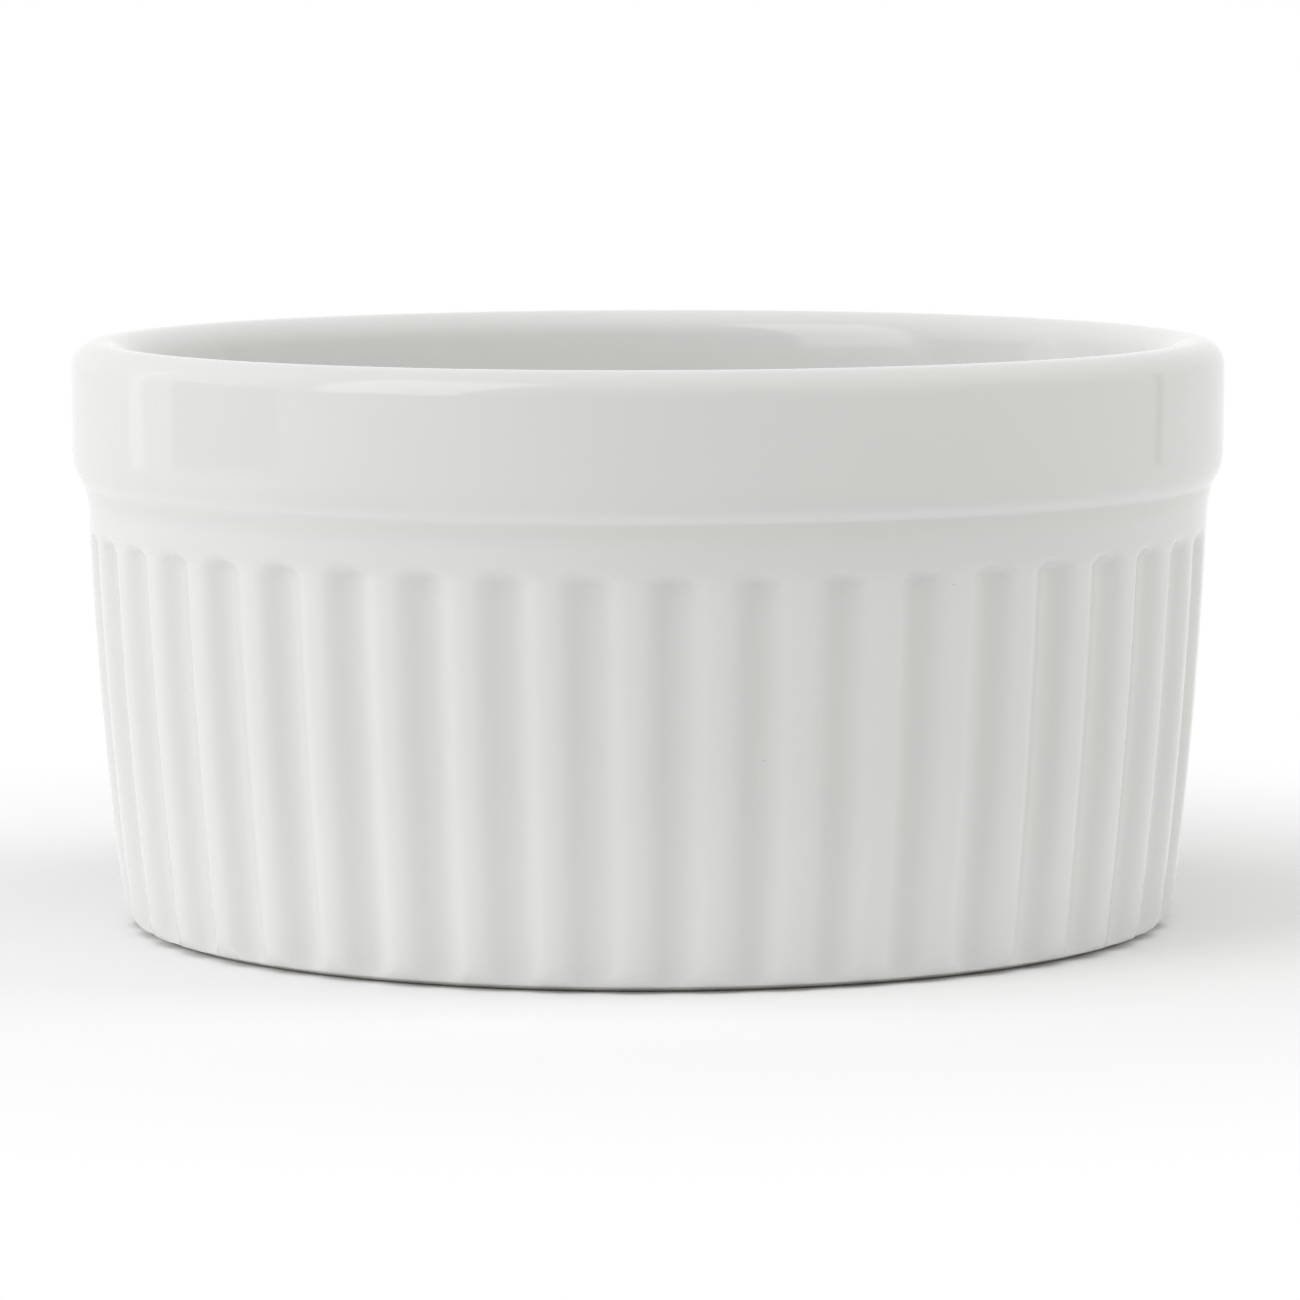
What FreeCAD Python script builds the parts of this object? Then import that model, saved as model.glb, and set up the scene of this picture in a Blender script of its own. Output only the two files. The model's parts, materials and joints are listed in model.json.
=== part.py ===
import FreeCAD, Part
import math
import os

# A round, straight-sided baking dish: a plain rim band over a fluted wall. It is one casting of
# porcelain, glazed all over but for the ring that it stands on.
# Millimetres and degrees. The origin is on the table at the centre of the foot ring, +Z up the axis.
# Sizes are those of the finished dish, measured over the glaze.

# Whole dish
rim_diameter = 90.0
overall_height = 45.6
base_diameter = 82.2  # where the line of the wall meets the table
glaze_thickness = 0.2

# Rim band and lip
rim_wall = 4.4
rim_band_height = 9.83  # crest of the lip to the band's lower edge
rim_band_flare = 0.08  # the band's upper edge stands this much further out than its lower edge
rim_step = 0.82  # the band stands this far proud of the crease under it
rim_slope_height = 1.22  # the band's lower edge to the crease
rim_edge_round = 4.4
crease_round = 0.2
neck_taper = 0.35  # the neck draws in this far from the crease to the wall
neck_taper_height = 1.5
neck_round = 6.0
lip_outer_round_share = 0.45  # of the rim wall
lip_inner_round_share = 0.5  # of the rim wall

# Wall
wall_bow = 0.36  # swell of the wall's middle past a straight line
wall_behind_flutes = 3.05  # least wall, level with the floor
base_round = 2.3

# Flutes
flute_count = 44
flute_depth = 0.82
flute_hollow_radius = 2.8
flute_shoulder_radius = 2.2
flute_neck = 2.05  # plain wall between the neck's taper and the tops of the flutes
flute_end_angle = 23.0  # of the ledge over each flute, from the level

# Floor and foot
floor_thickness = 4.4
floor_round = 5.0
foot_ring_width = 3.0
recess_depth = 0.9
recess_round_share = 0.5  # of the recess's depth
foot_edge_round_share = 0.3  # of the recess's depth
glaze_line_height = 0.5  # the coat stops this far above the table
base_glaze_margin = 0.5  # bare border of the base, inside the recess's corner

# What the cutting shapes stand clear of the dish by
cut_overrun = 3.0

# Places that follow from the sizes
rim_radius = rim_diameter / 2
base_radius = base_diameter / 2
band_low_radius = rim_radius - rim_band_flare
crease_radius = band_low_radius - rim_step
neck_radius = crease_radius - neck_taper
band_low_height = overall_height - rim_band_height
crease_height = band_low_height - rim_slope_height
neck_height = crease_height - neck_taper_height
flute_top_height = neck_height - flute_neck
floor_height = recess_depth + floor_thickness
foot_inner_radius = base_radius - base_round - foot_ring_width
recess_round = recess_depth * recess_round_share
foot_edge_round = recess_depth * foot_edge_round_share

# The wall's outer line: two straight runs from base to neck that meet at its bowed middle
wall_low = FreeCAD.Vector(base_radius, 0, 0)
wall_top = FreeCAD.Vector(neck_radius, 0, neck_height)
wall_middle = (wall_low + wall_top) / 2 + FreeCAD.Vector(wall_bow, 0, 0)
wall_low_run = wall_middle - wall_low
wall_high_run = wall_top - wall_middle

# The inside follows the outside at the floor and at the lip
wall_radius_at_floor = base_radius + wall_low_run.x / wall_low_run.z * floor_height
floor_radius = wall_radius_at_floor - flute_depth - wall_behind_flutes
inner_rim_radius = rim_radius - rim_wall


def finished_corners():
    """Corners of the half section, from under the base, round the outside and lip, to the floor.

    Each is a point, the rounding there, and whether the run that leaves it carries glaze.
    """
    return [
        (FreeCAD.Vector(0, 0, recess_depth), 0, True),
        (FreeCAD.Vector(foot_inner_radius, 0, recess_depth), recess_round, False),
        (FreeCAD.Vector(foot_inner_radius, 0, 0), foot_edge_round, False),
        (wall_low, base_round, True),
        (wall_middle, 0, True),
        (wall_top, neck_round, True),
        (FreeCAD.Vector(crease_radius, 0, crease_height), crease_round, True),
        (FreeCAD.Vector(band_low_radius, 0, band_low_height), rim_edge_round, True),
        (FreeCAD.Vector(rim_radius, 0, overall_height), rim_wall * lip_outer_round_share, True),
        (FreeCAD.Vector(inner_rim_radius, 0, overall_height), rim_wall * lip_inner_round_share, True),
        (FreeCAD.Vector(floor_radius, 0, floor_height), floor_round, True),
        (FreeCAD.Vector(0, 0, floor_height), 0, True),
    ]


def right_of(run):
    """Unit vector to the right of a run in the XZ plane, which is out of the porcelain."""
    return FreeCAD.Vector(run.z, 0, -run.x) / run.Length


def crossing(point_a, run_a, point_b, run_b):
    """Where two straight lines of the XZ plane cross."""
    share = (point_b - point_a).dot(right_of(run_b)) / run_a.dot(right_of(run_b))
    return point_a + run_a * share


def shaved_corners(depth):
    """The finished corners with every glazed run moved into the porcelain by a depth."""
    corners = finished_corners()
    runs = [after[0] - before[0] for before, after in zip(corners, corners[1:])]
    starts = []
    for (point, _, glazed), run in zip(corners, runs):
        starts.append(point - right_of(run) * (depth if glazed else 0))
    shaved = [(starts[0], 0)]
    for i in range(1, len(runs)):
        point = crossing(starts[i - 1], runs[i - 1], starts[i], runs[i])
        rounding = corners[i][1]
        glazed = corners[i - 1][2] or corners[i][2]
        if rounding and glazed:
            convex = runs[i - 1].dot(right_of(runs[i])) < 0
            rounding += -depth if convex else depth
        shaved.append((point, rounding))
    shaved.append((FreeCAD.Vector(0, 0, starts[-1].z), 0))
    return shaved


def rounded_edges(corners):
    """Straight edges between corners, with a tangent arc in place of each rounded corner."""
    edges = []
    last = corners[0][0]
    for (before, _), (point, rounding), (after, _) in zip(corners, corners[1:], corners[2:]):
        arriving = (point - before).normalize()
        leaving = (after - point).normalize()
        half_turn = arriving.getAngle(leaving) / 2
        reach = rounding * math.tan(half_turn)
        inward = (leaving - arriving).normalize()
        start = point - arriving * reach
        end = point + leaving * reach
        middle = point + inward * rounding * (1 / math.cos(half_turn) - 1)
        edges.append(Part.LineSegment(last, start).toShape())
        if rounding:
            edges.append(Part.Arc(start, middle, end).toShape())
        last = end
    edges.append(Part.LineSegment(last, corners[-1][0]).toShape())
    return edges


def turned(edges):
    """Solid of revolution about the dish's axis from a chain of edges, closed if need be."""
    wire = Part.Wire(edges)
    if not wire.isClosed():
        first = edges[0].firstVertex(True).Point
        last = edges[-1].lastVertex(True).Point
        wire = Part.Wire(edges + [Part.LineSegment(last, first).toShape()])
    return Part.Face(wire).revolve(FreeCAD.Vector(0, 0, 0), FreeCAD.Vector(0, 0, 1), 360)


def turned_polygon(points):
    """Ring or disc turned from radius and height pairs."""
    corners = [FreeCAD.Vector(radius, 0, height) for radius, height in points]
    return turned(Part.makePolygon(corners + corners[:1]).Edges)


def flute_section(place, out, depth):
    """Face across one flute, square to the wall: a hollow with a rounded shoulder on each side."""
    hollow_radius = flute_hollow_radius + depth
    shoulder_radius = flute_shoulder_radius - depth
    centre_gap = flute_hollow_radius + flute_shoulder_radius
    half_width = math.sqrt(centre_gap**2 - (centre_gap - flute_depth) ** 2)
    lean = math.asin(half_width / centre_gap)

    def at(side, rise):
        return place + FreeCAD.Vector(0, side, 0) + out * rise

    def on_hollow(angle):
        rise = flute_hollow_radius - flute_depth - hollow_radius * math.cos(angle)
        return at(hollow_radius * math.sin(angle), rise)

    def on_shoulder(side, angle):
        reach = half_width - shoulder_radius * math.sin(angle)
        return at(side * reach, shoulder_radius * math.cos(angle) - flute_shoulder_radius)

    chain = [
        Part.LineSegment(at(-half_width, cut_overrun), on_shoulder(-1, 0)),
        Part.Arc(on_shoulder(-1, 0), on_shoulder(-1, lean / 2), on_hollow(-lean)),
        Part.Arc(on_hollow(-lean), on_hollow(0), on_hollow(lean)),
        Part.Arc(on_hollow(lean), on_shoulder(1, lean / 2), on_shoulder(1, 0)),
        Part.LineSegment(on_shoulder(1, 0), at(half_width, cut_overrun)),
        Part.LineSegment(at(half_width, cut_overrun), at(-half_width, cut_overrun)),
    ]
    return Part.Face(Part.Wire([piece.toShape() for piece in chain]))


def above_flutes(depth):
    """Ring that keeps the neck whole. Its sloped underside is the upper end of every flute."""
    rise = math.tan(math.radians(flute_end_angle))
    lift = depth / math.cos(math.radians(flute_end_angle))
    slope_top = flute_top_height + rise * cut_overrun + lift
    slope_low = flute_top_height - rise * cut_overrun + lift
    wall_radius = neck_radius - wall_high_run.x / wall_high_run.z * flute_neck
    top = max(slope_top, overall_height) + cut_overrun
    return turned_polygon([
        (wall_radius - cut_overrun, slope_low),
        (wall_radius + cut_overrun, slope_top),
        (rim_radius + cut_overrun * 2, slope_top),
        (rim_radius + cut_overrun * 2, top),
        (wall_radius - cut_overrun, top),
    ])


def flute_cutters(depth):
    """One cutter for each flute. It follows the bow of the wall and runs out past the base."""
    cutter = None
    for start, run in ((wall_low, wall_low_run), (wall_middle, wall_high_run)):
        lead = run / run.Length * cut_overrun
        stretch = flute_section(start - lead, right_of(run), depth).extrude(run + lead * 2)
        cutter = cutter.fuse(stretch) if cutter else stretch
    cutter = cutter.cut(above_flutes(depth))
    pitch = 360 / flute_count
    cutters = []
    for i in range(flute_count):
        copy = cutter.copy()
        copy.rotate(FreeCAD.Vector(0, 0, 0), FreeCAD.Vector(0, 0, 1), pitch * (i + 1 / 2))
        cutters.append(copy)
    return cutters


def dish(depth):
    """The whole fluted dish, with its glazed faces shaved by a depth."""
    blank = turned(rounded_edges(shaved_corners(depth)))
    return blank.cut(flute_cutters(depth))


def coat_zone():
    """Everything above the glaze line, but for the middle of the base below the floor."""
    core_radius = foot_inner_radius + foot_ring_width / 2
    core_height = recess_depth + floor_thickness / 2
    outside = rim_radius + cut_overrun
    top = overall_height + cut_overrun
    return turned_polygon([
        (0, core_height),
        (core_radius, core_height),
        (core_radius, glaze_line_height),
        (outside, glaze_line_height),
        (outside, top),
        (0, top),
    ])


porcelain_body = dish(glaze_thickness)
glaze_coat = dish(0).common(coat_zone()).cut(porcelain_body)
base_glaze_radius = foot_inner_radius - recess_round - glaze_thickness - base_glaze_margin
base_glaze = Part.makeCylinder(base_glaze_radius, glaze_thickness, FreeCAD.Vector(0, 0, recess_depth))

os.makedirs("parts", exist_ok=True)
for name, shape in {
    "porcelain_body": porcelain_body,
    "glaze_coat": glaze_coat,
    "base_glaze": base_glaze,
}.items():
    solid = shape.Solids[0]
    solid.exportStep("parts/" + name + ".step")
    print(name, len(shape.Solids), "solid,", round(solid.Volume), "mm3, valid:", solid.isValid())
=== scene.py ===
import json
import math
import bmesh
import bpy
from mathutils import Euler, Matrix, Vector


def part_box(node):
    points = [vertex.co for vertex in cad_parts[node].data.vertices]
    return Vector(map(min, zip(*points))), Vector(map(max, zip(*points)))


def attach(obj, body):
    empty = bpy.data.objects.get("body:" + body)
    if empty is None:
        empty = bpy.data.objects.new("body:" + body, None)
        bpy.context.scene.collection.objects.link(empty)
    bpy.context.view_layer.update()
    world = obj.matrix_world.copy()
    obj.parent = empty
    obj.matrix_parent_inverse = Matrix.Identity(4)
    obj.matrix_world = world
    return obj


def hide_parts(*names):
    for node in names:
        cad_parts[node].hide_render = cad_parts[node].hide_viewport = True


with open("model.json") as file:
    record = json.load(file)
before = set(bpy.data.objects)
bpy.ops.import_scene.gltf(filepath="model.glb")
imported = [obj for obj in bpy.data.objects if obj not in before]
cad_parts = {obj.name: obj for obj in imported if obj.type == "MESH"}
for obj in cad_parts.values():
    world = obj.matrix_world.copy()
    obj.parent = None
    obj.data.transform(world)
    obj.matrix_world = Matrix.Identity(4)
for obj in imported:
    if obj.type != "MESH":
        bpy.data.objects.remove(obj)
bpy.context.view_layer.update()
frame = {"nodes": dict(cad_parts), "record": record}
mm = 0.001
print("frame loaded, nodes:", ", ".join(sorted(frame["nodes"])))

coatLow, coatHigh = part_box("glaze_coat")
patchLow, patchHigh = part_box("base_glaze")
mountHeights = {mount["name"]: mount["pos_m"][2] for mount in frame["record"]["mounts"]}

# Outline of the glazed dish, all sizes over the glaze
dish = {
    "rimRadius": coatHigh.x,
    "height": coatHigh.z,
    "glazeLine": coatLow.z,  # the coat stops here, just above the bare foot
    "floorHeight": mountHeights["inside_floor"],
    "lipWall": 4.4 * mm,
    "lipOuterRound": 1.98 * mm,
    "lipInnerRound": 2.2 * mm,
    "lipLean": 0.42 * mm,  # the lip's inner side leans in by this
    "lipLeanHeight": 3.0 * mm,
    "lipLeanRound": 25.0 * mm,
    "bandHeight": 9.83 * mm,
    "bandFlare": 0.08 * mm,
    "bandStep": 0.82 * mm,  # from the band in to the crease under it
    "slopeHeight": 1.22 * mm,
    "edgeRound": 4.4 * mm,
    "creaseRound": 0.15 * mm,
    "neckTaper": 0.35 * mm,  # from the crease in to the wall
    "neckTaperHeight": 1.5 * mm,
    "neckRound": 6.0 * mm,
    "baseRadius": 41.1 * mm,
    "baseRound": 2.3 * mm,
    "wallBow": 0.36 * mm,
    "wallBowShare": 0.84,  # of the wall's height that the bow's arc takes up
    "floorRadius": 37.76 * mm,
    "floorRound": 5.0 * mm,
    "longestRun": 9.0 * mm,  # rings stand no further apart than this
    "coatThickness": 0.12 * mm,
    "mergeGap": 0.002 * mm,
    "smoothAngle": 40,
}

# One flute: a hollow between two rounded shoulders, with an arched top
flute = {
    "count": 44,
    "columns": 12,
    "depth": 0.82 * mm,
    "hollowRadius": 2.8 * mm,
    "shoulderRadius": 2.2 * mm,
    "neck": 1.55 * mm,  # plain wall between the neck's taper and the flute's top
    "archHeight": 1.65 * mm,
    "archRings": 8,
    "footRound": 0.4 * mm,
}

# Painted shade and light in the glaze's colour, 0 for none: over 0 the glaze is painted darker (shade in
# the hollows, under the crease and over the band, partly thicker glaze gathered in the hollows and
# crease), below 0 it is painted lighter (light on the ribs, on the slope above the crease and near the
# foot, partly thinner glaze over ribs and edges)
paintedShading = {
    "creaseSoft": 0.3 * mm,
    "creaseRings": (1, 0.5, -0.5, -1, -2),  # extra rings about the crease, in soft widths
    "creaseReach": 2.2 * mm,
    # painted shade under the crease, painted light on the slope above it, painted shade over the band
    "creaseShade": 0.85,
    "edgeLight": -0.7,
    "bandShade": 0.3,
    # painted shade in the flutes' hollows and painted light on the ribs, partly glaze gathered in the
    # hollows
    "hollowDepth": 0.5,
    "ribLight": -0.65,
    "fluteFade": 2.0 * mm,
    # painted light towards the foot, over this height
    "footReach": 16.0 * mm,
    "footLight": -0.9,
}


def clearSelection():
    if bpy.context.mode != "OBJECT":
        bpy.ops.object.mode_set(mode="OBJECT")
    bpy.ops.object.select_all(action="DESELECT")


def roundCorners(corners):
    # corners are (radius, height, rounding, steps), and each rounding becomes a tangent arc
    points = [Vector(corners[0][:2])]
    for before, corner, after in zip(corners, corners[1:], corners[2:]):
        at = Vector(corner[:2])
        rounding, steps = corner[2:]
        arriving = (at - Vector(before[:2])).normalized()
        leaving = (Vector(after[:2]) - at).normalized()
        turn = math.atan2(arriving.cross(leaving), arriving.dot(leaving))
        start = at - arriving * rounding * math.tan(abs(turn) / 2)
        spoke = Vector((arriving.y, -arriving.x)) * math.copysign(rounding, turn)
        for step in range(steps + 1):
            points.append(start - spoke + Matrix.Rotation(turn * step / steps, 2) @ spoke)
    points.append(Vector(corners[-1][:2]))
    return points


def splitRuns(points, longest):
    split = [points[0]]
    for start, end in zip(points, points[1:]):
        parts = math.ceil((end - start).length / longest)
        split += [start.lerp(end, part / parts) for part in range(1, parts + 1)]
    return split


def addHeights(points, heights):
    # extra points on the outer side, which comes first and climbs
    for height in heights:
        for i, (low, high) in enumerate(zip(points, points[1:])):
            if low.y < height < high.y:
                points.insert(i + 1, low.lerp(high, (height - low.y) / (high.y - low.y)))
                break
    return points


bandLowRadius = dish["rimRadius"] - dish["bandFlare"]
bandLowHeight = dish["height"] - dish["bandHeight"]
creaseRadius = bandLowRadius - dish["bandStep"]
creaseHeight = bandLowHeight - dish["slopeHeight"]
neckRadius = creaseRadius - dish["neckTaper"]
neckHeight = creaseHeight - dish["neckTaperHeight"]
fluteTop = neckHeight - flute["neck"]
innerRim = dish["rimRadius"] - dish["lipWall"]
wallFoot = Vector((dish["baseRadius"], 0))
wallHead = Vector((neckRadius, neckHeight))
wallBend = dish["wallBow"] / (1 - dish["wallBowShare"] / 2)
wallMiddle = (wallFoot + wallHead) / 2 + Vector((wallBend, 0))
wallTurn = (wallMiddle - wallFoot).angle(wallHead - wallMiddle)
wallRound = dish["wallBowShare"] * (wallMiddle - wallFoot).length / math.tan(wallTurn / 2)


def dishOutline():
    # from under the base, up the outside, over the lip and down to the middle of the floor
    leanHeight = dish["height"] - dish["lipLeanHeight"]
    corners = [
        (dish["baseRadius"] - dish["baseRound"] * 2, 0, 0, 0),
        (wallFoot.x, wallFoot.y, dish["baseRound"], 14),
        (wallMiddle.x, wallMiddle.y, wallRound, 9),
        (wallHead.x, wallHead.y, dish["neckRound"], 5),
        (creaseRadius, creaseHeight, dish["creaseRound"], 4),
        (bandLowRadius, bandLowHeight, dish["edgeRound"], 8),
        (dish["rimRadius"], dish["height"], dish["lipOuterRound"], 8),
        (innerRim, dish["height"], dish["lipInnerRound"], 8),
        (innerRim - dish["lipLean"], leanHeight, dish["lipLeanRound"], 4),
        (dish["floorRadius"], dish["floorHeight"], dish["floorRound"], 8),
        (0, dish["floorHeight"], 0, 0),
    ]
    points = addHeights(roundCorners(corners), [dish["glazeLine"]])
    glazed = [point for point in points if point.y > dish["glazeLine"] - dish["mergeGap"]]
    glazed = splitRuns(glazed, dish["longestRun"])
    archStep = flute["archHeight"] / flute["archRings"]
    heights = [fluteTop - archStep * step for step in range(flute["archRings"])]
    heights += [creaseHeight + paintedShading["creaseSoft"] * step for step in paintedShading["creaseRings"]]
    return addHeights(glazed, heights)


centreGap = flute["hollowRadius"] + flute["shoulderRadius"]
halfWidth = math.sqrt(centreGap**2 - (centreGap - flute["depth"]) ** 2)


def hollowDepth(side):
    # depth of the flute's section at a distance from its middle line
    joint = flute["hollowRadius"] * halfWidth / centreGap
    if side < joint:
        return flute["depth"] - flute["hollowRadius"] + math.sqrt(flute["hollowRadius"] ** 2 - side**2)
    if side < halfWidth:
        return flute["shoulderRadius"] - math.sqrt(flute["shoulderRadius"] ** 2 - (halfWidth - side) ** 2)
    return 0


def easedIn(value, ease):
    # nothing below zero, the value itself above, and a smooth bend between them
    if value >= ease:
        return value
    return max(value + ease, 0) ** 2 / (4 * ease) if ease else 0


def wallRadius(height):
    # the wall's own line, run on below the rounded base
    lean = (wallMiddle - wallFoot).x / (wallMiddle - wallFoot).y
    return wallFoot.x + lean * height


def flutedRadius(ring, turn):
    # radius of a ring of the outer wall at an angle from the flute's middle, closed by an arch at the top
    up = max(ring.y - fluteTop + flute["archHeight"], 0) / flute["archHeight"] * halfWidth
    depth = hollowDepth(math.hypot(ring.x * turn, up))
    if ring.y < dish["baseRound"]:
        # the rounded base takes the flute away
        ease = flute["footRound"] * depth / flute["depth"]
        depth = easedIn(depth - wallRadius(ring.y) + ring.x, ease)
    return ring.x - depth


def turnChain(name, points):
    # one vertex, extruded along the outline point by point
    clearSelection()
    bpy.ops.mesh.primitive_plane_add(size=1 * mm, location=(0, 0, 0))
    piece = bpy.context.object
    piece.name = name
    bpy.ops.object.mode_set(mode="EDIT")
    bpy.ops.mesh.select_all(action="SELECT")
    bpy.ops.mesh.merge(type="CENTER")
    bpy.ops.transform.translate(value=(points[0].x, 0, points[0].y))
    for start, end in zip(points, points[1:]):
        step = (end.x - start.x, 0, end.y - start.y)
        bpy.ops.mesh.extrude_vertices_move(TRANSFORM_OT_translate={"value": step})
    return piece


def eased(value, start, end):
    # 0 before start, 1 past end, smooth between
    share = min(max((value - start) / (end - start), 0), 1)
    return share * share * (3 - 2 * share)


def shadingTone(ring, hollow):
    # painted shade and light on a ring of the outer side, where the flute is this deep: darker in the
    # hollows, under the crease and on the band, lighter on the ribs, the slope above the crease and near
    # the foot
    painted = paintedShading
    under = creaseHeight - ring.y
    below = eased(under, -painted["creaseSoft"], painted["creaseSoft"])
    onBand = eased(-under, painted["creaseSoft"], dish["slopeHeight"])
    fromCrease = eased(under, painted["creaseSoft"], painted["creaseReach"])
    onFlutes = eased(fluteTop - ring.y, 0, painted["fluteFade"])
    nearFoot = max(1 - ring.y / painted["footReach"], 0)
    share = hollow / flute["depth"]
    onWall = (painted["hollowDepth"] * share + painted["ribLight"] * (1 - share)) * onFlutes
    atEdge = (1 - below) * (painted["edgeLight"] * (1 - onBand) + painted["bandShade"] * onBand)
    return atEdge + below * (1 - fromCrease) * painted["creaseShade"] + onWall + nearFoot * painted["footLight"]


def pressFlute(piece, rings):
    # every column of the sector is drawn in towards the axis, ring by ring
    pitch = math.tau / flute["count"]
    middle = flute["columns"] // 2
    mesh = bmesh.from_edit_mesh(piece.data)
    paintedShade = mesh.verts.layers.float.new("shadingTone")
    places = {}
    for vertex in mesh.verts:
        here = Vector((vertex.co.xy.length, vertex.co.z))
        ring = min(range(len(rings)), key=lambda i: (rings[i] - here).length_squared)
        column = round(abs(math.atan2(vertex.co.y, vertex.co.x)) / pitch * flute["columns"])
        places.setdefault((ring, abs(column - middle)), []).append(vertex)
    crest = max(range(len(rings)), key=lambda i: rings[i].y)
    for (ring, column), vertices in places.items():
        if ring > crest:
            continue
        radius = flutedRadius(rings[ring], column * pitch / flute["columns"])
        for vertex in vertices:
            # the painted shade and light of this ring, kept on its vertices for the glaze's colour
            vertex[paintedShade] = shadingTone(rings[ring], rings[ring].x - radius)
        if radius == rings[ring].x:
            continue
        bpy.ops.mesh.select_all(action="DESELECT")
        for vertex in vertices:
            vertex.select = True
        bmesh.update_edit_mesh(piece.data)
        shrink = radius / rings[ring].x
        bpy.ops.transform.resize(value=(shrink, shrink, 1), center_override=(0, 0, 0))


def faceOutwards(piece):
    # an open shell can be recalculated either way round, so its outermost face decides
    mesh = bmesh.from_edit_mesh(piece.data)
    outer = max(mesh.faces, key=lambda face: face.calc_center_median().xy.length)
    if outer.normal.dot(outer.calc_center_median()) < 0:
        bpy.ops.mesh.flip_normals()


def makeGlazeSkin():
    rings = dishOutline()
    pitch = math.tau / flute["count"]
    skin = turnChain("glaze_skin", rings)
    bpy.ops.mesh.select_all(action="SELECT")
    bpy.ops.mesh.spin(steps=flute["columns"], angle=pitch, center=(0, 0, 0), axis=(0, 0, 1))
    pressFlute(skin, rings)
    bpy.ops.mesh.select_all(action="SELECT")
    copies = flute["count"] - 1
    bpy.ops.mesh.spin(steps=copies, dupli=True, angle=pitch * copies, center=(0, 0, 0), axis=(0, 0, 1))
    bpy.ops.mesh.select_all(action="SELECT")
    bpy.ops.mesh.remove_doubles(threshold=dish["mergeGap"])
    bpy.ops.mesh.normals_make_consistent(inside=False)
    faceOutwards(skin)
    bpy.ops.object.mode_set(mode="OBJECT")
    bpy.ops.object.modifier_add(type="SOLIDIFY")
    skin.modifiers[-1].thickness = dish["coatThickness"]
    skin.modifiers[-1].offset = -1
    bpy.ops.object.modifier_apply(modifier=skin.modifiers[-1].name)
    bpy.ops.object.shade_smooth_by_angle(angle=math.radians(dish["smoothAngle"]))
    print("glaze skin:", len(rings), "rings,", len(skin.data.polygons), "faces")
    return skin


glazeSkin = makeGlazeSkin()
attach(glazeSkin, "root")
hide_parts("glaze_coat")


# Glaze under the base: a thin poured patch with a soft, slightly uneven edge
basePatch = {
    "radius": patchHigh.x,
    "top": patchHigh.z,
    "thickness": patchHigh.z - patchLow.z,
    "segments": 160,
    "edgeWidth": 0.6 * mm,
    "edgeRings": 5,
    "edgeDrop": 0.02 * mm,
    "unevenness": 0.5 * mm,
    "lobes": ((3, 0.4), (7, 2.1), (11, 4.4)),  # waves round the edge, and where each starts
    "flatBorder": 4.0 * mm,
}


def edgeRadius(angle):
    waves = [math.cos(count * angle + start) for count, start in basePatch["lobes"]]
    return basePatch["radius"] - basePatch["unevenness"] * (1 - sum(waves) / len(waves)) / 2


def makeBasePatch():
    clearSelection()
    bpy.ops.mesh.primitive_circle_add(
        vertices=basePatch["segments"],
        radius=basePatch["radius"],
        fill_type="NGON",
        location=(0, 0, basePatch["top"]),
    )
    patch = bpy.context.object
    patch.name = "base_glaze_patch"
    bpy.ops.object.transform_apply(location=True)
    bpy.ops.object.mode_set(mode="EDIT")
    mesh = bmesh.from_edit_mesh(patch.data)
    for vertex in mesh.verts:
        # the poured edge wanders in a little, point by point
        bpy.ops.mesh.select_all(action="DESELECT")
        vertex.select = True
        share = edgeRadius(math.atan2(vertex.co.y, vertex.co.x)) / basePatch["radius"]
        bpy.ops.transform.resize(value=(share, share, 1), center_override=(0, 0, 0))
    bpy.ops.mesh.select_all(action="SELECT")
    bpy.ops.mesh.extrude_region_move(TRANSFORM_OT_translate={"value": (0, 0, -basePatch["edgeDrop"])})
    steps = basePatch["edgeRings"]
    for step in range(steps):
        # a quarter round down to the patch's flat face
        here = math.pi / 2 * step / steps
        there = math.pi / 2 * (step + 1) / steps
        inset = basePatch["edgeWidth"] * (math.cos(here) - math.cos(there))
        drop = (basePatch["thickness"] - basePatch["edgeDrop"]) * (math.sin(there) - math.sin(here))
        bpy.ops.mesh.inset(thickness=inset, depth=0)
        bpy.ops.transform.translate(value=(0, 0, -drop))
    bpy.ops.mesh.inset(thickness=basePatch["flatBorder"], depth=0)
    bpy.ops.mesh.select_all(action="SELECT")
    bpy.ops.mesh.normals_make_consistent(inside=False)
    bpy.ops.object.mode_set(mode="OBJECT")
    bpy.ops.object.shade_smooth_by_angle(angle=math.radians(dish["smoothAngle"]))
    return patch


basePatchPiece = makeBasePatch()
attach(basePatchPiece, "root")
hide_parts("base_glaze")
print("base patch:", len(basePatchPiece.data.polygons), "faces")


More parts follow.
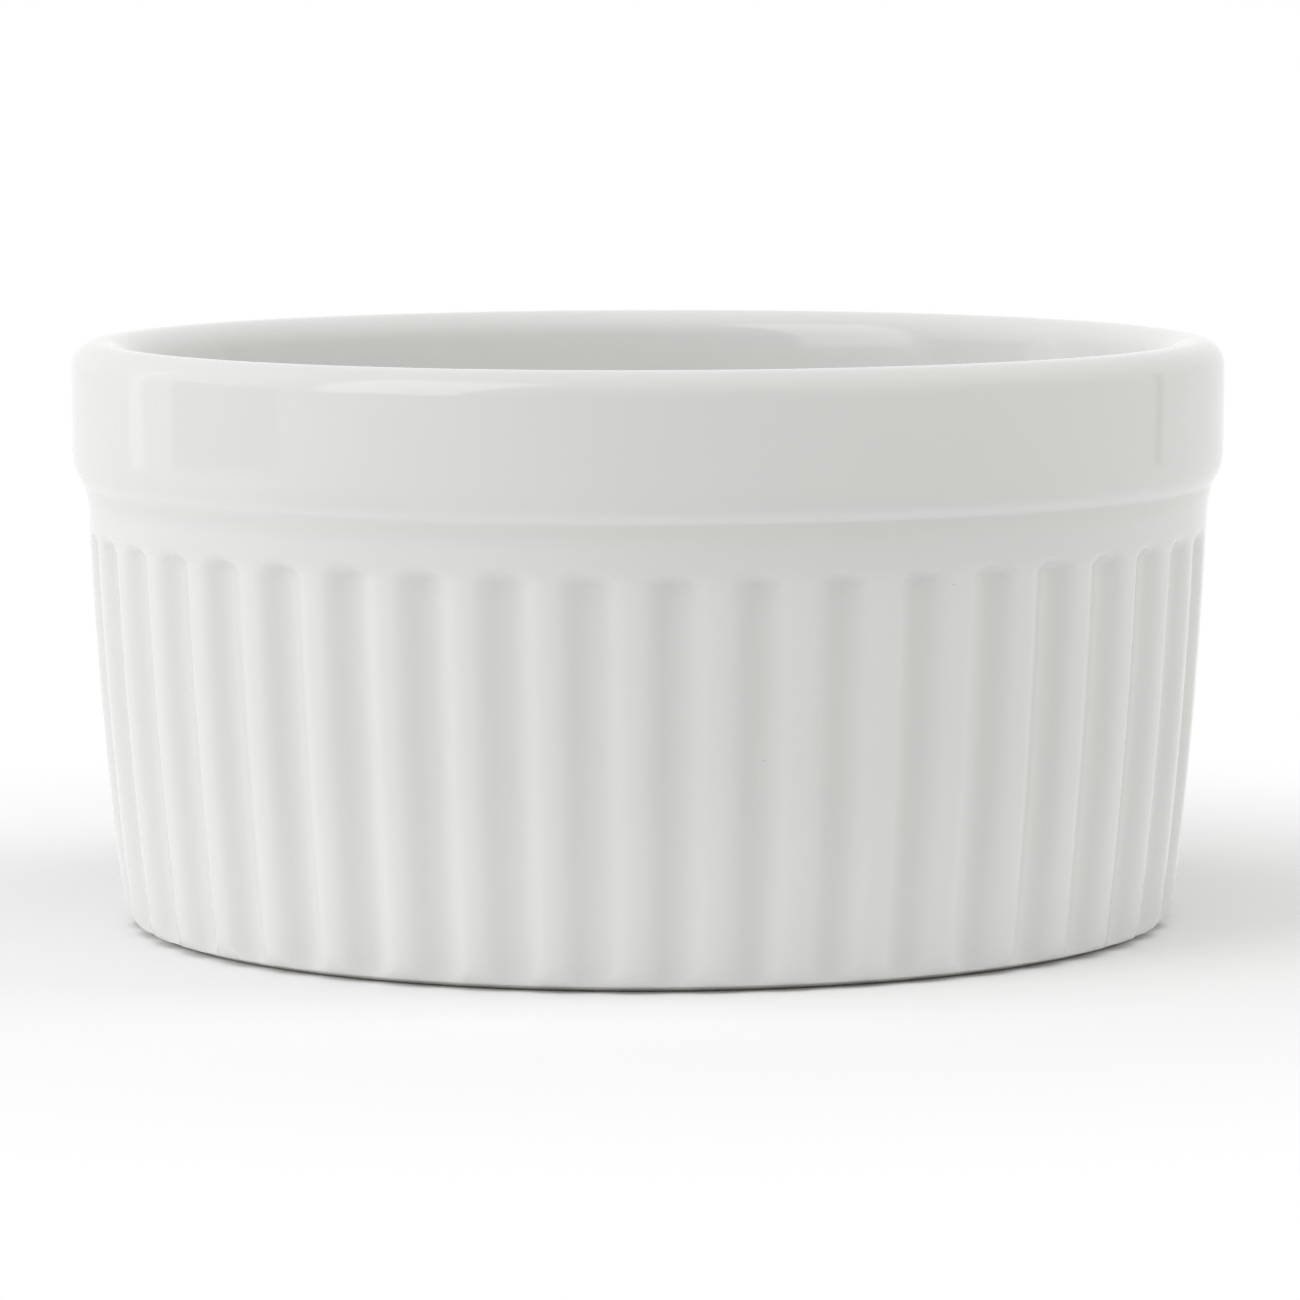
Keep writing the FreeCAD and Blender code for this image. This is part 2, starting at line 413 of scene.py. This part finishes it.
# Shader maths on sockets: operators add Math nodes, and node() adds any other node
class Wire:
    def __init__(self, tree, socket=None):
        self.tree = tree
        self.socket = socket

    def node(self, kind, settings=None, values=None, out=0):
        made = self.tree.nodes.new(kind)
        for name, setting in (settings or {}).items():
            if name == "stops":
                for stop, (place, colour) in zip(made.color_ramp.elements, setting):
                    stop.position = place
                    stop.color = colour
            else:
                setattr(made, name, setting)
        for name, value in (values or {}).items():
            if isinstance(value, Wire):
                self.tree.links.new(value.socket, made.inputs[name])
            else:
                made.inputs[name].default_value = value
        return Wire(self.tree, made.outputs[out]) if made.outputs else made

    def math(self, operation, a, b):
        return self.node("ShaderNodeMath", {"operation": operation}, {0: a, 1: b})

    def __add__(self, other):
        return self.math("ADD", self, other)

    def __radd__(self, other):
        return self.math("ADD", other, self)

    def __sub__(self, other):
        return self.math("SUBTRACT", self, other)

    def __rsub__(self, other):
        return self.math("SUBTRACT", other, self)

    def __mul__(self, other):
        return self.math("MULTIPLY", self, other)

    def __rmul__(self, other):
        return self.math("MULTIPLY", other, self)

    def mix(self, low, high):
        # colours, with this value as the share of the second
        kind = {"data_type": "RGBA", "clamp_factor": True}
        return self.node("ShaderNodeMix", kind, {0: self, 6: low, 7: high}, out=2)

    def noise(self, place, scale, detail):
        return self.node("ShaderNodeTexNoise", None, {"Vector": place, "Scale": scale, "Detail": detail})

    def band(self, start, end):
        # 0 before start, 1 past end, eased between
        kind = {"interpolation_type": "SMOOTHSTEP"}
        return self.node("ShaderNodeMapRange", kind, {"Value": self, "From Min": start, "From Max": end})


def newMaterial(name):
    material = bpy.data.materials.new(name)
    material.use_nodes = True
    material.node_tree.nodes.clear()
    return material, Wire(material.node_tree)


glazeFinish = {
    "white": (0.79, 0.793, 0.771, 1),
    "cloud": (0.768, 0.772, 0.746, 1),  # faint uneven tone, centimetres across
    "pooledShade": (0.742, 0.75, 0.708, 1),  # painted shade for the hollows, crease and band, partly thicker glaze gathered in the hollows
    "thinLit": (0.825, 0.827, 0.809, 1),  # painted light for the ribs, edge slope and foot, partly thinner glaze over ribs and edges
    "cloudScale": 30,
    "cloudEdges": (0.35, 0.65),
    "speck": (0.36, 0.34, 0.3, 1),  # pinholes
    "speckSpacing": 7 * mm,
    "speckRadius": 0.13 * mm,
    "speckCore": 0.6,  # share of the radius that is fully dark
    "speckStrength": 0.7,
    "roughness": 0.06,
    "roughnessSpread": 0.05,
    "ior": 1.52,
    "waveScale": 110,  # slow swell of the glaze, then its fine orange peel
    "waveHeight": 0.012 * mm,
    "peelScale": 900,
    "peelHeight": 0.0015 * mm,
}


def makeGlazeMaterial():
    finish = glazeFinish
    material, wire = newMaterial("whiteGlaze")
    place = wire.node("ShaderNodeTexCoord", out="Object")
    cloud = wire.noise(place, finish["cloudScale"], 2)
    paintedShade = wire.node("ShaderNodeAttribute", {"attribute_name": "shadingTone"}, out="Fac")
    cellScale = 1 / finish["speckSpacing"]
    cells = wire.node("ShaderNodeTexVoronoi", None, {"Vector": place, "Scale": cellScale})
    speckSize = finish["speckRadius"] * cellScale
    speck = 1 - cells.band(speckSize * finish["speckCore"], speckSize)
    colour = cloud.band(*finish["cloudEdges"]).mix(finish["white"], finish["cloud"])
    # painted shade: the glaze turns darker where the stored value is over 0
    colour = paintedShade.mix(colour, finish["pooledShade"])
    # painted light: the glaze turns lighter where the stored value is below 0
    colour = (0 - paintedShade).mix(colour, finish["thinLit"])
    colour = (speck * finish["speckStrength"]).mix(colour, finish["speck"])
    swell = wire.node("ShaderNodeBump", None, {
        "Strength": 1,
        "Distance": finish["waveHeight"],
        "Height": wire.noise(place, finish["waveScale"], 1),
    })
    surface = wire.node("ShaderNodeBump", None, {
        "Strength": 1,
        "Distance": finish["peelHeight"],
        "Height": wire.noise(place, finish["peelScale"], 1),
        "Normal": swell,
    })
    shader = wire.node("ShaderNodeBsdfPrincipled", None, {
        "Base Color": colour,
        "Roughness": finish["roughness"] + finish["roughnessSpread"] * cloud,
        "IOR": finish["ior"],
        "Normal": surface,
    })
    wire.node("ShaderNodeOutputMaterial", None, {"Surface": shader})
    return material


bareFinish = {
    "clay": (0.78, 0.765, 0.72, 1),
    "clayShade": (0.72, 0.7, 0.65, 1),
    "mottleScale": 220,
    "mottleEdges": (0.35, 0.7),
    "grainScale": 2600,
    "grainHeight": 0.012 * mm,
    "roughness": 0.62,
    "roughnessSpread": 0.2,
}


def makeBareMaterial():
    finish = bareFinish
    material, wire = newMaterial("barePorcelain")
    place = wire.node("ShaderNodeTexCoord", out="Object")
    mottle = wire.noise(place, finish["mottleScale"], 4)
    grain = wire.noise(place, finish["grainScale"], 3)
    bump = wire.node("ShaderNodeBump", None, {"Distance": finish["grainHeight"], "Height": grain})
    shader = wire.node("ShaderNodeBsdfPrincipled", None, {
        "Base Color": mottle.band(*finish["mottleEdges"]).mix(finish["clay"], finish["clayShade"]),
        "Roughness": finish["roughness"] + finish["roughnessSpread"] * grain,
        "Normal": bump,
    })
    wire.node("ShaderNodeOutputMaterial", None, {"Surface": shader})
    return material


whiteGlaze = makeGlazeMaterial()
barePorcelain = makeBareMaterial()
for piece in (glazeSkin, basePatchPiece):
    piece.data.materials.clear()
    piece.data.materials.append(whiteGlaze)
bodySlots = frame["nodes"]["porcelain_body"].data.materials
bodySlots.clear()
bodySlots.append(barePorcelain)
print("materials made")


# Where the camera stands: square on to the dish, a little above the lip, turned by part of a flute
view = {
    "turn": math.radians(1.45),
    "distance": 513.4 * mm,
    "height": 73.8 * mm,
    "pitch": 0.1024,
    "roll": -0.0023,
    "yaw": -0.00023,
    "lens": 181.84,
    "sensor": 36,
    "clip": (0.01, 100),
}


def turnedPlace(angle, distance, height):
    # angle is measured from the front, to the right, as seen by the camera
    around = view["turn"] + angle
    return Vector((distance * math.sin(around), -distance * math.cos(around), height))


def makeCamera():
    data = bpy.data.cameras.new("camera")
    data.lens = view["lens"]
    data.sensor_width = view["sensor"]
    data.clip_start, data.clip_end = view["clip"]
    camera = bpy.data.objects.new("camera", data)
    bpy.context.scene.collection.objects.link(camera)
    camera.location = turnedPlace(0, view["distance"], view["height"])
    facing = Euler((math.pi / 2 - view["pitch"], 0, view["turn"] + view["yaw"])).to_matrix()
    camera.rotation_euler = (facing @ Matrix.Rotation(view["roll"], 3, "Z")).to_euler()
    bpy.context.scene.camera = camera


# Soft boxes round the dish: the angle to the right of the camera and the rise are in degrees, the rest in
# metres and watts. Only the mirrored ones show in the glaze.
softBoxes = {
    "windowBox": {
        "angle": -51.5,
        "rise": 35.5,
        "distance": 0.8,
        "size": (0.444, 0.76),
        "power": 1.69,
        "tint": (0.982, 0.987, 1),
        "mirrored": True,
    },
    "sideStrip": {
        "angle": -115,
        "rise": 13,
        "distance": 0.37,
        "size": (0.035, 0.22),
        "power": 0.0095,
        "tint": (1, 1, 1),
        "mirrored": True,
    },
    "leftBox": {
        "angle": -99,
        "rise": 14,
        "distance": 0.9,
        "size": (0.5, 0.4),
        "power": 1.82,
        "tint": (0.965, 0.972, 1),
        "mirrored": False,
    },
    "rightBox": {
        "angle": 91,
        "rise": 35,
        "distance": 0.9,
        "size": (0.46, 0.8),
        "power": 1.74,
        "tint": (1, 1, 0.965),
        "mirrored": False,
    },
    "topBox": {
        "angle": 0,
        "rise": 81,
        "distance": 0.9,
        "size": (0.8, 0.7),
        "power": 2.4,
        "tint": (1, 1, 1),
        "mirrored": False,
    },
}
studio = {
    "worldStrength": 0.4,
    "aim": Vector((0, 0, 25 * mm)),
    "floorSize": 60,
    "floorWhite": (0.97, 0.97, 0.97, 1),
    "nearFloor": 0.048,  # inside this the floor shows its own light and shadow
    "farFloor": 0.12,  # past this it is plain white
    "nearMirrored": 0.041,  # the same two for what the glaze mirrors
    "farMirrored": 0.062,
}


def makeSoftBox(name):
    box = softBoxes[name]
    data = bpy.data.lights.new(name, "AREA")
    data.shape = "RECTANGLE"
    data.size, data.size_y = box["size"]
    data.energy = box["power"]
    data.color = box["tint"]
    lamp = bpy.data.objects.new(name, data)
    bpy.context.scene.collection.objects.link(lamp)
    rise = math.radians(box["rise"])
    place = turnedPlace(math.radians(box["angle"]), box["distance"] * math.cos(rise), 0)
    lamp.location = studio["aim"] + place + Vector((0, 0, box["distance"] * math.sin(rise)))
    lamp.rotation_euler = (studio["aim"] - lamp.location).to_track_quat("-Z", "Y").to_euler()
    lamp.visible_camera = False
    lamp.visible_glossy = box["mirrored"]
    return lamp


# Grey cards beside the dish, which only its reflections see
greyCards = {
    "leftCard": {"angle": -87.5, "distance": 0.4, "width": 0.21, "height": 0.12, "shade": 0.4},
    "rightCard": {"angle": 115, "distance": 0.4, "width": 0.02, "height": 0.12, "shade": 0.5},
}


def makeGreyCard(name):
    card = greyCards[name]
    angle = math.radians(card["angle"])
    clearSelection()
    bpy.ops.mesh.primitive_plane_add(
        size=1,
        location=turnedPlace(angle, card["distance"], card["height"] / 2),
        rotation=(math.pi / 2, 0, view["turn"] + angle),
    )
    board = bpy.context.object
    board.name = name
    board.scale = (card["width"], card["height"], 1)
    material, wire = newMaterial(name)
    glow = wire.node("ShaderNodeEmission", None, {"Color": (1, 1, 1, 1), "Strength": card["shade"]})
    wire.node("ShaderNodeOutputMaterial", None, {"Surface": glow})
    board.data.materials.append(material)
    board.visible_camera = False
    board.visible_diffuse = False
    board.visible_transmission = False
    board.visible_shadow = False


def seenByCamera(wire):
    return wire.node("ShaderNodeLightPath", out="Is Camera Ray")


def seenMirrored(wire):
    # 1 for what a reflection or a refraction sees
    glossy = wire.node("ShaderNodeLightPath", out="Is Glossy Ray")
    through = wire.node("ShaderNodeLightPath", out="Is Transmission Ray")
    return wire.math("MAXIMUM", glossy, through)


def makeWorld():
    world = bpy.data.worlds.new("studio")
    bpy.context.scene.world = world
    world.use_nodes = True
    world.node_tree.nodes.clear()
    wire = Wire(world.node_tree)
    # white to look at, and dimmer as the light that falls on things
    seen = wire.math("MAXIMUM", seenByCamera(wire), seenMirrored(wire))
    strength = studio["worldStrength"] + (1 - studio["worldStrength"]) * seen
    shader = wire.node("ShaderNodeBackground", None, {"Color": (1, 1, 1, 1), "Strength": strength})
    wire.node("ShaderNodeOutputWorld", None, {"Surface": shader})


def makeFloor():
    clearSelection()
    bpy.ops.mesh.primitive_plane_add(size=studio["floorSize"], location=(0, 0, 0))
    floor = bpy.context.object
    floor.name = "floor"
    material, wire = newMaterial("whiteFloor")
    place = wire.node("ShaderNodeTexCoord", out="Object")
    reach = wire.node("ShaderNodeVectorMath", {"operation": "LENGTH"}, {0: place}, out="Value")
    white = wire.math(
        "MAXIMUM",
        seenByCamera(wire) * reach.band(studio["nearFloor"], studio["farFloor"]),
        seenMirrored(wire) * reach.band(studio["nearMirrored"], studio["farMirrored"]),
    )
    paper = wire.node("ShaderNodeBsdfDiffuse", None, {"Color": studio["floorWhite"]})
    glow = wire.node("ShaderNodeEmission", None, {"Color": (1, 1, 1, 1), "Strength": 1})
    shader = wire.node("ShaderNodeMixShader", None, {0: white, 1: paper, 2: glow})
    wire.node("ShaderNodeOutputMaterial", None, {"Surface": shader})
    floor.data.materials.append(material)


makeCamera()
for boxName in softBoxes:
    makeSoftBox(boxName)
for cardName in greyCards:
    makeGreyCard(cardName)
makeWorld()
makeFloor()
bpy.context.scene.view_settings.view_transform = "Standard"
print("camera, soft boxes and floor placed")

clearSelection()
bpy.context.view_layer.update()
